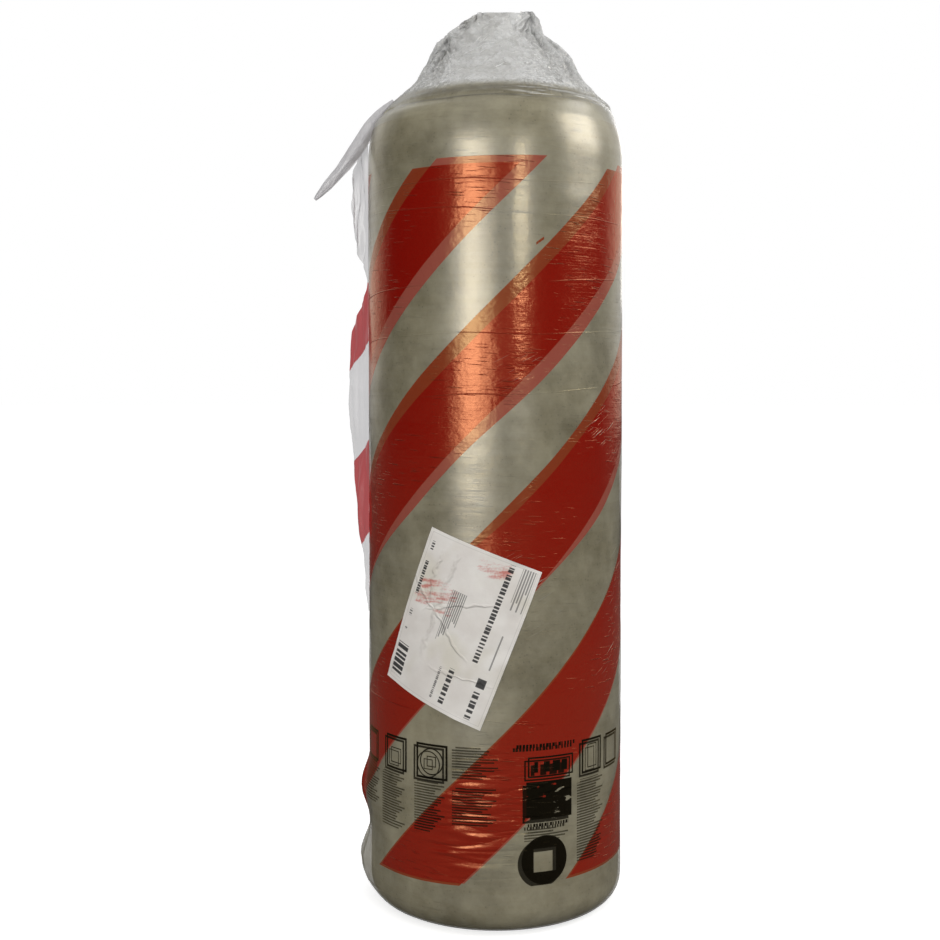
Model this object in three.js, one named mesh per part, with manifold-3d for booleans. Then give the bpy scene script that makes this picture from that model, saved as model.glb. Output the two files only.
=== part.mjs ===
// A roll of stone-wool insulation felt, packed in plastic film and standing on end. Millimetres, +Z up,
// origin on the floor under the roll's axis.
//
// Three separate pieces:
//   wool_roll    the felt mat wound up tight, its inner turns standing proud on top and the seam between
//                its turns open on both ends
//   wrap_film    the packing film: a bag drawn over the roll, gathered into an open crown on top, with
//                the loose edge of its last layer standing off one side and that layer's corner hanging
//   paper_label  an A5 shipping label, stuck on the film and bent round it
import * as THREE from "three";
import { mergeVertices } from "three/addons/utils/BufferGeometryUtils.js";
import Module from "manifold-3d";

const wasm = await Module();
wasm.setup();

// ---- Felt mat ----
const MAT_WIDTH = 1000; // the roll's height
const MAT_LENGTH = 3500; // unrolled
const TURN_PITCH = 23.4; // one turn's thickness, squeezed down from the 80 mm of the loose mat
const BORE_RADIUS = 14; // the eye left where the winding starts
const WOOL_EDGE_ROUND = 30; // the soft corner at the floor
const SHOULDER_DROP = 26; // on top, the side starts to lean in this far below the mat's width
const SHOULDER_FULLNESS = 8; // how far that curve swells above it
const CONE_RADIUS = 100; // the inner turns have slipped up, so the top is a cone as far in as this
const CONE_RISE = 36;
const SEAM_WIDTH = 8; // the valley between two turns, on the end faces
const SEAM_DEPTH = 7;
const SEAM_STEPS_PER_TURN = 30;

// ---- Packing film ----
const FILM_THICKNESS = 1; // its wound layers taken as one
const FILM_GAP = 0.5; // slack between the felt and the film
const CROWN_FOOT_RADIUS = 112; // where the gathered end rises from the roll's top
const CROWN_FOOT_RISE = 42; // above the mat's width
const CROWN_HEIGHT = 94; // from its foot to its mouth
const MOUTH_DEPTH_SHARE = 0.62; // the crown is flattened front to back, most at its mouth
const MOUTH_RADIUS = 44; // half of the mouth's long side
const PLEATS = 12; // gathers in the crown
const PLEAT_DEPTH = 7;

// Slack film low on the flap's side, in two swellings.
const LOWER_SWELLING_Z = 50;
const LOWER_SWELLING_DEPTH = 12;
const UPPER_SWELLING_Z = 144;
const UPPER_SWELLING_DEPTH = 10;
const SWELLING_HALF_HEIGHT = 45;
const SWELLING_SPREAD = 36; // degrees to each side of -X

// ---- Loose edge of the film's last layer ----
const FLAP_ROOT_ANGLE = 186; // degrees round the roll, anticlockwise from +X
const FLAP_ANGLE = 36; // degrees between the flap and the roll's tangent
const FLAP_ROOT_BITE = 0.6; // how deep it starts in the wall, so that both are one sheet
const FLAP_STEPS = 30;
// Its free edge from bottom to top: share of the roll's height, width of the flap there. It touches the
// roll again at a waist near the top.
const FLAP_EDGE = [
  [0.37, 2],
  [0.48, 21],
  [0.56, 34],
  [0.665, 44],
  [0.745, 33],
  [0.795, 3],
  [0.845, 27],
  [0.89, 36],
  [0.96, 24],
];

// ---- Hanging corner of that layer ----
const TAIL_REACH = 66; // out from the roll's side
const TAIL_DROP = 100; // from its root to its tip
const TAIL_FORWARD = 10;
const TAIL_WIDTH = 26;
const TAIL_TIP_WIDTH = 9;
const TAIL_TWIST = 35; // degrees
const TAIL_ROOT_BITE = 15; // it starts this deep, and the film's inside cuts it off

// ---- Paper label ----
const LABEL_WIDTH = 145;
const LABEL_HEIGHT = 203;
const LABEL_THICKNESS = 0.4;
const LABEL_TILT = 21.6; // degrees clockwise
const LABEL_TURN = -16.7; // degrees round the roll from its front, towards -X
const LABEL_CENTRE_Z = 368;
const LABEL_GAP = 0.3;

const STEPS_ROUND = 72;
const CORNER_STEPS = 5;
const SHOULDER_STEPS = 5;
const CROWN_STEPS = 5;

// ---- Sizes that follow ----
const FILM_FLOOR = FILM_THICKNESS + FILM_GAP; // the felt stands this high
const WOOL_RADIUS = Math.sqrt(BORE_RADIUS ** 2 + (MAT_LENGTH * TURN_PITCH) / Math.PI);
const FILM_RADIUS = WOOL_RADIUS + FILM_GAP + FILM_THICKNESS;
const FILM_EDGE_ROUND = WOOL_EDGE_ROUND + FILM_GAP + FILM_THICKNESS;

const radians = THREE.MathUtils.degToRad;
const lerp = THREE.MathUtils.lerp;

// 1 at the centre of a soft bump and 0 from halfWidth outwards.
function bump(value, centre, halfWidth) {
  const off = Math.min(1, Math.abs(value - centre) / halfWidth);
  return Math.cos((off * Math.PI) / 2) ** 2;
}

// The vector of the given length that points out from the roll's axis at an angle.
function outwards(angle, length = 1) {
  return new THREE.Vector3(Math.cos(angle), Math.sin(angle), 0).multiplyScalar(length);
}

// A closed surface through rings of points with equal counts. Each ring runs anticlockwise when seen from
// the end of the loft.
function loft(rings) {
  const count = rings[0].length;
  const middle = (ring) => ring.reduce((sum, p) => sum.add(p), new THREE.Vector3()).divideScalar(count);
  const points = [...rings.flat(), middle(rings[0]), middle(rings.at(-1))];
  const end = rings.length * count;
  const index = [];
  for (let i = 0; i < end - count; i += count) {
    for (let j = 0; j < count; j++) {
      const a = i + j;
      const b = i + ((j + 1) % count);
      index.push(a, b, b + count, a, b + count, a + count);
    }
  }
  for (let j = 0; j < count; j++) {
    const next = (j + 1) % count;
    index.push(end, next, j);
    index.push(end + 1, end - count + j, end - count + next);
  }
  return new THREE.BufferGeometry().setFromPoints(points).setIndex(index);
}

function toSolid(geometry) {
  geometry.deleteAttribute("normal");
  geometry.deleteAttribute("uv");
  const merged = mergeVertices(geometry, 1e-3);
  return new wasm.Manifold(
    new wasm.Mesh({
      numProp: 3,
      vertProperties: merged.attributes.position.array,
      triVerts: new Uint32Array(merged.index.array),
    }),
  );
}

function toGeometry(solid) {
  const mesh = solid.getMesh();
  return new THREE.BufferGeometry()
    .setAttribute("position", new THREE.BufferAttribute(mesh.vertProperties, 3))
    .setIndex(new THREE.BufferAttribute(mesh.triVerts, 1));
}

function toMesh(name, geometry, material) {
  geometry.computeVertexNormals();
  const mesh = new THREE.Mesh(geometry, material);
  mesh.name = name;
  return mesh;
}

// A quarter circle in the (radius, height) half plane, from one angle to another, as profile points.
function cornerPoints(radius, z, round, from, to) {
  const arc = new THREE.ArcCurve(radius, z, round, radians(from), radians(to));
  return arc.getPoints(CORNER_STEPS);
}

// The curve by which a side of a radius leans in to a foot on top, as profile points.
function shoulderPoints(radius, footRadius, footRise) {
  const shoulder = new THREE.QuadraticBezierCurve(
    new THREE.Vector2(radius, FILM_FLOOR + MAT_WIDTH - SHOULDER_DROP),
    new THREE.Vector2(radius, FILM_FLOOR + MAT_WIDTH + SHOULDER_FULLNESS),
    new THREE.Vector2(footRadius, FILM_FLOOR + MAT_WIDTH + footRise),
  );
  return shoulder.getPoints(SHOULDER_STEPS);
}

// ---- The felt: a turned body with its bore, then the seam of the winding cut in both ends ----

// The height of the felt's top at a radius, between the points of its shoulder.
function topHeight(radius) {
  const points = shoulderPoints(WOOL_RADIUS, CONE_RADIUS, CONE_RISE);
  if (radius <= CONE_RADIUS) return points.at(-1).y;
  const inner = points.findIndex((point) => point.x <= radius);
  const [a, b] = [points[inner - 1], points[inner]];
  return lerp(a.y, b.y, (a.x - radius) / (a.x - b.x));
}

function feltBody() {
  const corner = WOOL_RADIUS - WOOL_EDGE_ROUND;
  const profile = [
    new THREE.Vector2(BORE_RADIUS, FILM_FLOOR),
    ...cornerPoints(corner, FILM_FLOOR + WOOL_EDGE_ROUND, WOOL_EDGE_ROUND, -90, 0),
    ...shoulderPoints(WOOL_RADIUS, CONE_RADIUS, CONE_RISE),
    new THREE.Vector2(BORE_RADIUS, topHeight(BORE_RADIUS)),
    new THREE.Vector2(BORE_RADIUS, FILM_FLOOR),
  ];
  return toSolid(new THREE.LatheGeometry(profile, STEPS_ROUND).rotateX(Math.PI / 2));
}

// A V-shaped cutter that follows the spiral between the turns over an end face, whose height at a radius
// surface gives. It reaches SEAM_DEPTH into the face and is SEAM_WIDTH wide there.
function seamCutter(surface) {
  const turns = (WOOL_RADIUS - WOOL_EDGE_ROUND - BORE_RADIUS) / TURN_PITCH;
  const steps = Math.round(turns * SEAM_STEPS_PER_TURN);
  const rings = [];
  for (let i = 0; i <= steps; i++) {
    const turn = i / SEAM_STEPS_PER_TURN;
    const radius = BORE_RADIUS + TURN_PITCH * turn;
    const at = (offset, rise) => outwards(turn * 2 * Math.PI, radius + offset).setZ(surface(radius) + rise);
    rings.push([at(SEAM_WIDTH, SEAM_DEPTH), at(0, -SEAM_DEPTH), at(-SEAM_WIDTH, SEAM_DEPTH)]);
  }
  return toSolid(loft(rings));
}

function woolRoll() {
  const topSeam = seamCutter(topHeight);
  const bottomSeam = seamCutter(() => -FILM_FLOOR).rotate(180, 0, 0);
  return toGeometry(feltBody().subtract(topSeam).subtract(bottomSeam));
}

// ---- The film: a thin shell on a turned profile whose top is gathered in pleats ----

// The film's outer profile from the floor's centre to the crown's mouth, as stations. Each is a ring of a
// radius and height; gather tells how far its pleats have set in and climb how far up the crown it is,
// both from 0 to 1.
function filmStations() {
  const corner = FILM_RADIUS - FILM_EDGE_ROUND;
  const stations = [{ radius: corner / 2, z: 0, gather: 0, climb: 0 }];
  for (const point of cornerPoints(corner, FILM_EDGE_ROUND, FILM_EDGE_ROUND, -90, 0))
    stations.push({ radius: point.x, z: point.y, gather: 0, climb: 0 });

  const shoulder = shoulderPoints(FILM_RADIUS, CROWN_FOOT_RADIUS, CROWN_FOOT_RISE);
  for (const middle of [LOWER_SWELLING_Z, UPPER_SWELLING_Z])
    for (const share of [0, 0.5, 1]) {
      const z = middle + share * SWELLING_HALF_HEIGHT;
      if (z > FILM_EDGE_ROUND && z < shoulder[0].y)
        stations.push({ radius: FILM_RADIUS, z, gather: 0, climb: 0 });
    }
  stations.sort((a, b) => a.z - b.z);
  shoulder.forEach((point, i) => {
    stations.push({ radius: point.x, z: point.y, gather: (i / SHOULDER_STEPS) ** 2, climb: 0 });
  });
  const footZ = shoulder.at(-1).y;
  for (let i = 1; i <= CROWN_STEPS; i++) {
    const climb = i / CROWN_STEPS;
    const radius = lerp(CROWN_FOOT_RADIUS, MOUTH_RADIUS, climb);
    stations.push({ radius, z: footZ + CROWN_HEIGHT * climb, gather: 1, climb });
  }
  return stations;
}

function swelling(angle, z) {
  const lower = LOWER_SWELLING_DEPTH * bump(z, LOWER_SWELLING_Z, SWELLING_HALF_HEIGHT);
  const upper = UPPER_SWELLING_DEPTH * bump(z, UPPER_SWELLING_Z, SWELLING_HALF_HEIGHT);
  return (lower + upper) * bump(angle, Math.PI, radians(SWELLING_SPREAD));
}

function filmRing({ radius, z, gather, climb }) {
  const ring = [];
  for (let j = 0; j < STEPS_ROUND; j++) {
    const angle = (j / STEPS_ROUND) * 2 * Math.PI;
    const pleat = gather * PLEAT_DEPTH * Math.cos(PLEATS * angle + 0.7 * Math.sin(2 * angle));
    const point = outwards(angle, radius + pleat + swelling(angle, z));
    point.y *= lerp(1, MOUTH_DEPTH_SHARE, climb);
    ring.push(point.setZ(z));
  }
  return ring;
}

// The rings moved in by the film's thickness, square to the surface, and one more above the mouth.
function insideRings(rings) {
  const outer = loft(rings);
  outer.computeVertexNormals();
  const normals = outer.getAttribute("normal");
  const inside = rings.map((ring, i) =>
    ring.map((point, j) => {
      const normal = new THREE.Vector3().fromBufferAttribute(normals, i * STEPS_ROUND + j);
      if (i === 0) normal.set(0, 0, -1);
      if (i === rings.length - 1) normal.setZ(0).normalize();
      return point.clone().addScaledVector(normal, -FILM_THICKNESS);
    }),
  );
  const above = inside.at(-1).map((point) => point.clone().setZ(point.z + 1));
  return [...inside, above];
}

function flap() {
  const rootAngle = radians(FLAP_ROOT_ANGLE);
  const root = outwards(rootAngle, FILM_RADIUS - FLAP_ROOT_BITE);
  const along = outwards(rootAngle - Math.PI / 2 + radians(FLAP_ANGLE));
  const across = new THREE.Vector3(-along.y, along.x, 0).multiplyScalar(FILM_THICKNESS / 2);
  const edge = new THREE.SplineCurve(
    FLAP_EDGE.map(([share, width]) => new THREE.Vector2(share * MAT_WIDTH, width)),
  );
  const rings = edge.getPoints(FLAP_STEPS).map((point) => {
    const near = root.clone().setZ(point.x);
    const far = near.clone().addScaledVector(along, point.y);
    return [near.clone().sub(across), far.clone().sub(across), far.add(across), near.add(across)];
  });
  return toSolid(loft(rings));
}

// The corner is folded into a strip that hangs out from the shoulder and tapers to its tip.
function tail() {
  const root = outwards(radians(FLAP_ROOT_ANGLE), FILM_RADIUS - TAIL_ROOT_BITE);
  root.z = FILM_FLOOR + MAT_WIDTH;
  const tip = root.clone().add(new THREE.Vector3(-TAIL_REACH - TAIL_ROOT_BITE, -TAIL_FORWARD, -TAIL_DROP));
  const knee = root.clone().lerp(tip, 0.45);
  knee.z += TAIL_DROP / 20;
  const path = new THREE.QuadraticBezierCurve3(root, knee, tip);
  const steps = 8;
  const rings = [];
  for (let i = 0; i <= steps; i++) {
    const share = i / steps;
    const ahead = path.getTangent(share);
    const sideways = new THREE.Vector3(0, 1, 0).cross(ahead).normalize();
    sideways.applyAxisAngle(ahead, radians(TAIL_TWIST * share));
    const through = ahead.clone().cross(sideways).normalize();
    const half = lerp(TAIL_WIDTH, TAIL_TIP_WIDTH, share) / 2;
    const at = (s, t) =>
      path
        .getPoint(share)
        .addScaledVector(sideways, s * half)
        .addScaledVector(through, (t * FILM_THICKNESS) / 2);
    rings.push([at(-1, -1), at(1, -1), at(1, 1), at(-1, 1)]);
  }
  return toSolid(loft(rings));
}

function wrapFilm() {
  const rings = filmStations().map(filmRing);
  const outside = toSolid(loft(rings)).add(flap()).add(tail());
  return toGeometry(outside.subtract(toSolid(loft(insideRings(rings)))));
}

// ---- The label: a flat sheet, turned in its plane and bent onto the film ----

function paperLabel() {
  const sheet = new THREE.BoxGeometry(LABEL_WIDTH, LABEL_THICKNESS, LABEL_HEIGHT, 12, 1, 14);
  sheet.rotateY(radians(LABEL_TILT));
  const middleRadius = FILM_RADIUS + LABEL_GAP + LABEL_THICKNESS / 2;
  const position = sheet.getAttribute("position");
  for (let i = 0; i < position.count; i++) {
    const angle = radians(LABEL_TURN - 90) + position.getX(i) / FILM_RADIUS;
    const point = outwards(angle, middleRadius - position.getY(i));
    position.setXYZ(i, point.x, point.y, LABEL_CENTRE_Z + position.getZ(i));
  }
  return sheet;
}

const feltMaterial = new THREE.MeshStandardMaterial({ color: 0x9a9884, roughness: 0.95, metalness: 0 });
const filmMaterial = new THREE.MeshStandardMaterial({ color: 0xb5271a, roughness: 0.3, metalness: 0 });
const paperMaterial = new THREE.MeshStandardMaterial({ color: 0xd8d8d6, roughness: 0.7, metalness: 0 });

const roll = new THREE.Group();
roll.add(toMesh("wool_roll", woolRoll(), feltMaterial));
roll.add(toMesh("wrap_film", wrapFilm(), filmMaterial));
roll.add(toMesh("paper_label", paperLabel(), paperMaterial));

export default roll;
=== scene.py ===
# %% [markdown]
# # A packed roll of stone-wool felt
#
# The real thing is a felt mat, 80 mm thick, 1 m wide and 3.5 m long, wound up tight and drawn
# into about two layers of clear plastic film with a red stripe print. The film is longer than the
# roll is high, so its spare end stands up on top as a crumpled crown. The outer edge of its last
# layer hangs loose at one side, and a paper label is stuck on the front.
#
# Units are metres, +Z is up, and the origin is on the floor under the roll's axis.

import math

import bmesh
import bpy
import numpy as np
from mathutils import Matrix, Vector


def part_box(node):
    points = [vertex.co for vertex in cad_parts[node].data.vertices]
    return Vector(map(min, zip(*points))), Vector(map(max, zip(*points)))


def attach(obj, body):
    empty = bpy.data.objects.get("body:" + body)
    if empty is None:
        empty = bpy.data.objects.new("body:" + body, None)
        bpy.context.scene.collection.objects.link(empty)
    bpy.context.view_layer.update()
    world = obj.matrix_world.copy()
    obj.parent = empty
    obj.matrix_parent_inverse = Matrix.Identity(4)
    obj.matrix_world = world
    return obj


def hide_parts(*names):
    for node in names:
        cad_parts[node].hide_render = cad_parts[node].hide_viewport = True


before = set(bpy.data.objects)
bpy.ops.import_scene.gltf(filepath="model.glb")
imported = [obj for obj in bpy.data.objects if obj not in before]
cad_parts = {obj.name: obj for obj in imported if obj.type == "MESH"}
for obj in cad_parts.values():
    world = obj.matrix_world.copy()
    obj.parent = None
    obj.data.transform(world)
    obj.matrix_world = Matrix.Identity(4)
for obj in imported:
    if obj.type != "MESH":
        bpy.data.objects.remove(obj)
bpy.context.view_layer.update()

film_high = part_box("wrap_film")[1]
felt_low, felt_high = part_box("wool_roll")
ROLL_R = film_high[0]  # outside of the film
RIM_Z = film_high[2]  # top of the crown
FELT_R = felt_high[0]
FELT_BASE = felt_low[2]
FELT_TOP = felt_high[2]
MAT_TOP = FELT_TOP - 0.036  # the inner turns stand this much proud of the mat's own width
SIDE_TOP = MAT_TOP - 0.055  # where the roll's side starts to round over
SHOULDER_KNEE = MAT_TOP + 0.016  # the height that the rounding heads for
GIRTH = 2 * math.pi * ROLL_R
FRONT = math.radians(270)  # the camera's side of the roll
SEAM_ANGLE = math.radians(186)  # the film's loose edge leaves the roll here
print("film radius", round(ROLL_R, 4), "felt", round(FELT_R, 4), "rim at", round(RIM_Z, 4))

# %% [markdown]
# ## Small tools: repeatable noise on a grid
#
# Wrinkles and crumples are random, but each run has to give the same ones. A hash of whole numbers
# gives every lattice point its own value, and numpy works it out for all vertices at once. A
# period makes the pattern meet itself where it goes right round the roll.


# %% Noise helpers
def scatter(ix, iy, seed):
    """A repeatable random number from 0 to 1 for each pair of whole numbers."""
    h = ix.astype(np.int64) * 374761393 + iy.astype(np.int64) * 668265263 + seed * 69069
    h &= 0xFFFFFFFF
    h = ((h ^ (h >> 13)) * 1274126177) & 0xFFFFFFFF
    return ((h ^ (h >> 16)) & 0xFFFF) / 65535.0


def waves(x, y, seed, period=1 << 20):
    """Smooth noise from -1 to 1 with features one unit across."""
    ix, iy = np.floor(x), np.floor(y)
    fx, fy = x - ix, y - iy
    fx, fy = fx * fx * (3 - 2 * fx), fy * fy * (3 - 2 * fy)
    left, right = np.mod(ix, period), np.mod(ix + 1, period)
    low = scatter(left, iy, seed) * (1 - fx) + scatter(right, iy, seed) * fx
    high = scatter(left, iy + 1, seed) * (1 - fx) + scatter(right, iy + 1, seed) * fx
    return (low * (1 - fy) + high * fy) * 2 - 1


def creases(x, y, seed, period=1 << 20):
    """0 on a net of straight creases about one unit apart, rising to about 0.5 between them."""
    ix, iy = np.floor(x), np.floor(y)
    first = np.full(np.shape(x), 9.0)
    second = first.copy()
    for dx in (-1, 0, 1):
        for dy in (-1, 0, 1):
            cx, cy = np.mod(ix + dx, period), iy + dy
            px = ix + dx + scatter(cx, cy, seed)
            py = cy + scatter(cx, cy, seed + 17)
            away = np.hypot(x - px, y - py)
            second = np.minimum(second, np.maximum(first, away))
            first = np.minimum(first, away)
    return second - first


def smooth(x, low, high):
    """0 below low, 1 above high and a soft step between them."""
    t = np.clip((x - low) / (high - low), 0, 1)
    return t * t * (3 - 2 * t)


def bump(x, centre, half):
    """1 at centre, 0 from half away."""
    return np.cos(np.clip(np.abs(x - centre) / half, 0, 1) * math.pi / 2) ** 2


def full_turn(cols, start=0.0):
    """Angles right round, one for each column."""
    return start + np.linspace(0, 2 * math.pi, cols, endpoint=False)


def smooth_steps(a, b, c, t):
    """A curve that leaves a, heads for b and ends in c."""
    return a * (1 - t) ** 2 + 2 * b * t * (1 - t) + c * t**2


def unit(vectors):
    """The same directions, with length 1."""
    length = np.linalg.norm(vectors, axis=-1, keepdims=True)
    return vectors / np.maximum(length, 1e-12)


# %% Mesh helpers
def grid_mesh(name, points, uv, closed=False, flip=False):
    """A mesh from rows of points, each face with its own corners in the UV map "print"."""
    rows, cols = points.shape[:2]
    last = cols if closed else cols - 1
    i, j = np.meshgrid(np.arange(rows - 1), np.arange(last), indexing="ij")
    i, j = i.ravel(), j.ravel()
    nxt = (j + 1) % cols
    faces = [i * cols + j, i * cols + nxt, (i + 1) * cols + nxt, (i + 1) * cols + j]
    faces = np.stack(faces, 1)
    corners = np.stack([uv[i, j], uv[i, j + 1], uv[i + 1, j + 1], uv[i + 1, j]], 1)
    if flip:
        faces, corners = faces[:, ::-1], corners[:, ::-1]
    mesh = bpy.data.meshes.new(name)
    mesh.from_pydata(points.reshape(-1, 3).tolist(), [], faces.tolist())
    layer = mesh.uv_layers.new(name="print")
    layer.data.foreach_set("uv", corners.reshape(-1))
    mesh.polygons.foreach_set("use_smooth", [True] * len(mesh.polygons))
    mesh.update()
    return mesh


def weld(mesh):
    """Merges points in one place, as where a grid's first row is a pole."""
    bm = bmesh.new()
    bm.from_mesh(mesh)
    bmesh.ops.remove_doubles(bm, verts=bm.verts, dist=1e-6)
    bm.to_mesh(mesh)
    bm.free()


def add_piece(name, mesh, *materials):
    """An object for a mesh, with these materials, that rides on the frame's only body."""
    obj = bpy.data.objects.new(name, mesh)
    bpy.context.scene.collection.objects.link(obj)
    for material in materials:
        mesh.materials.append(material)
    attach(obj, "root")
    print(name, len(mesh.polygons), "faces")
    return obj


def grid_normals(points):
    """Outward normals of a closed grid whose rows go up and whose columns go round."""
    across = np.roll(points, -1, 1) - np.roll(points, 1, 1)
    return unit(np.cross(across, np.gradient(points, axis=0)))


# %% [markdown]
# ## Shader maths as plain expressions
#
# A print pattern is mostly arithmetic: is this point inside a stripe, a box, a line of small type?
# Wrapping a socket in a small class lets those tests be written as Python expressions, and each
# operator adds its Math node. A mask is 1 inside a shape and 0 outside it.


# %% Nodes
def feed(tree, slot, value):
    """Links a Wire or a socket to an input, or sets it to a plain value."""
    if isinstance(value, Wire):
        tree.links.new(value.socket, slot)
    elif isinstance(value, bpy.types.NodeSocket):
        tree.links.new(value, slot)
    else:
        slot.default_value = value


def add_node(tree, kind, inputs=None, **settings):
    """A new node: first its settings, then the value or the link of each of its sockets."""
    node = tree.nodes.new(kind)
    for key, value in settings.items():
        setattr(node, key, value)
    for key, value in (inputs or {}).items():
        feed(tree, node.inputs[key], value)
    return node


# %% Shader expressions
class Wire:
    """A number that varies over a surface: an output socket with arithmetic."""

    def __init__(self, tree, socket):
        self.tree = tree
        self.socket = socket

    def math(self, operation, *others):
        """A Math node that takes this wire first and the others after it."""
        values = dict(enumerate((self, *others)))
        node = add_node(self.tree, "ShaderNodeMath", values, operation=operation)
        return Wire(self.tree, node.outputs[0])

    def __add__(self, other):
        return self.math("ADD", other)

    def __sub__(self, other):
        return self.math("SUBTRACT", other)

    def __mul__(self, other):
        return self.math("MULTIPLY", other)

    def __truediv__(self, other):
        return self.math("DIVIDE", other)

    def __rsub__(self, other):
        return self.math("MULTIPLY_ADD", -1.0, other)

    __radd__ = __add__
    __rmul__ = __mul__

    def __abs__(self):
        return self.math("ABSOLUTE")

    def wrap(self, period):
        return self.math("FLOORED_MODULO", period)

    def most(self, *others):
        """The greatest of this and the others at each point: masks laid over one another."""
        result = self
        for other in others:
            result = result.math("MAXIMUM", other)
        return result

    def clamp(self):
        return self.math("MINIMUM", 1.0).most(0.0)

    def ramp(self, low, high):
        """0 below low and 1 above high with a soft step between, or the other way round."""
        inputs = {"Value": self, "From Min": low, "From Max": high}
        kind = "ShaderNodeMapRange"
        node = add_node(self.tree, kind, inputs, interpolation_type="SMOOTHSTEP")
        return Wire(self.tree, node.outputs["Result"])

    def between(self, low, high, soft=0.0004):
        """1 from low to high, with edges this soft."""
        middle, half = (low + high) / 2, (high - low) / 2
        return (0.5 + (half - abs(self - middle)) / soft).clamp()


class Finish:
    """A new material with its Principled shader, and helpers for what it is painted with."""

    def __init__(self, name, **plain):
        self.material = bpy.data.materials.new(name)
        self.material.use_nodes = True
        self.tree = self.material.node_tree
        self.shader = self.tree.nodes["Principled BSDF"]
        self.set(**plain)

    def set(self, **slots):
        """Sets or links the shader's sockets, with _ for a space in their names."""
        for key, value in slots.items():
            feed(self.tree, self.shader.inputs[key.replace("_", " ")], value)

    def node(self, kind, inputs=None, **settings):
        return add_node(self.tree, kind, inputs, **settings)

    def wire(self, socket):
        return Wire(self.tree, socket)

    def place(self, scale=(1, 1, 1), uv=False):
        """Object or print coordinates, stretched by scale."""
        if uv:
            source = self.node("ShaderNodeUVMap", uv_map="print").outputs[0]
        else:
            source = self.node("ShaderNodeTexCoord").outputs["Object"]
        return self.node("ShaderNodeMapping", {"Vector": source, "Scale": scale}).outputs[0]

    def at(self, uv=False):
        """The place on the object, or on its print, in metres."""
        split = self.node("ShaderNodeSeparateXYZ", {"Vector": self.place(uv=uv)})
        return [self.wire(out) for out in split.outputs]

    def noise(self, scale, uv=False, detail=2.0, roughness=0.5, distortion=0.0):
        """Noise from about 0.2 to 0.8, scale being features to the metre along each axis."""
        inputs = {"Vector": self.place(scale, uv), "Scale": 1.0, "Detail": detail}
        inputs |= {"Roughness": roughness, "Distortion": distortion}
        return self.wire(self.node("ShaderNodeTexNoise", inputs).outputs[0])

    def spots(self, scale):
        """Distance to the nearest of scattered points, in cells."""
        inputs = {"Vector": self.place(scale), "Scale": 1.0}
        return self.wire(self.node("ShaderNodeTexVoronoi", inputs).outputs["Distance"])

    def vector(self, operation, *values):
        """A Vector Math node: its number if it gives one, else its vector."""
        node = self.node("ShaderNodeVectorMath", dict(enumerate(values)), operation=operation)
        return self.wire(node.outputs["Value"]) if operation == "DOT_PRODUCT" else node.outputs[0]

    def chips(self, scale):
        """Facets of a crumpled sheet: a height, each tipped its own way, and each one's tone,
        which the crown paints as the facet's light or shade.
        """
        inputs = {"Vector": self.place((60, 60, 60)), "Scale": 1.0}
        swirl = self.node("ShaderNodeTexNoise", inputs).outputs["Color"]
        at = self.vector("ADD", swirl, self.place(scale))
        cell = self.node("ShaderNodeTexVoronoi", {"Vector": at, "Scale": 1.0})
        tip = self.vector("SUBTRACT", cell.outputs["Color"], (0.5, 0.5, 0.5))
        from_centre = self.vector("SUBTRACT", at, cell.outputs["Position"])
        tone = self.vector("DOT_PRODUCT", cell.outputs["Color"], (1, 0, 0))
        return self.vector("DOT_PRODUCT", from_centre, tip), tone

    def mix(self, factor, a, b):
        """Colour a where factor is 0 and colour b where it is 1."""
        return self.node("ShaderNodeMix", {0: factor, 6: a, 7: b}, data_type="RGBA").outputs[2]

    def bump(self, height, distance, strength=1.0):
        """A normal from a height, distance being how far a height of 1 stands out."""
        inputs = {"Height": height, "Distance": distance, "Strength": strength}
        return self.node("ShaderNodeBump", inputs).outputs[0]


def srgb(red, green, blue):
    """A colour as a screen gives it, 0 to 255, as the linear RGBA that shaders take."""
    share = np.array([red, green, blue]) / 255
    linear = np.where(share <= 0.04045, share / 12.92, ((share + 0.055) / 1.055) ** 2.4)
    return (*[float(c) for c in linear], 1.0)


# %% [markdown]
# ## Felt
#
# Stone wool is a mass of fine grey-green fibres lying in all directions, with small dark beads of
# stone that never became fibre. Three sizes of noise give cloudy patches, fibre bundles and the
# fibres themselves, and a sparse set of spots gives the beads.

# %% Felt finish
FELT_DARK, FELT_PALE = srgb(98, 92, 68), srgb(190, 182, 148)
BEAD_CELLS = (170, 170, 170)  # to the metre: most cells hold no bead


def felt_finish():
    """Fibres, cloudy patches and dark beads."""
    felt = Finish("felt", Roughness=0.95, Sheen_Weight=0.15, Sheen_Roughness=0.6)
    cloud = felt.noise((13, 13, 10), detail=3)
    bundle = felt.noise((110, 110, 85), detail=4, roughness=0.68)
    fibre = felt.noise((620, 620, 520), roughness=0.7, distortion=1.0)
    tone = (cloud - 0.5) * 2.4 + (bundle - 0.5) * 1.7 + (fibre - 0.5) * 0.9 + 0.5
    base = felt.mix(tone.clamp(), FELT_DARK, FELT_PALE)
    rare = felt.noise((26, 26, 26), detail=3).ramp(0.46, 0.58)
    bead = felt.spots(BEAD_CELLS).ramp(0.24, 0.12) * rare
    felt.set(Base_Color=felt.mix(bead * 0.8, base, srgb(40, 36, 28)))
    felt.set(Normal=felt.bump(bundle * 0.6 + fibre * 0.4, 0.0016, 0.8))
    return felt.material


FELT = felt_finish()

# %% [markdown]
# ## The felt roll
#
# The felt shows through the clear film and, from above, through the crown's mouth. Its body is a
# lathe form: a rounded foot, a straight side, and a top whose inner turns stand a little proud.
# The winding on its ends follows a rule, so Geometry Nodes make it: the tree finds how far each
# point of an end is from the nearest seam between two turns of the spiral, and sinks the seams.

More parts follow.
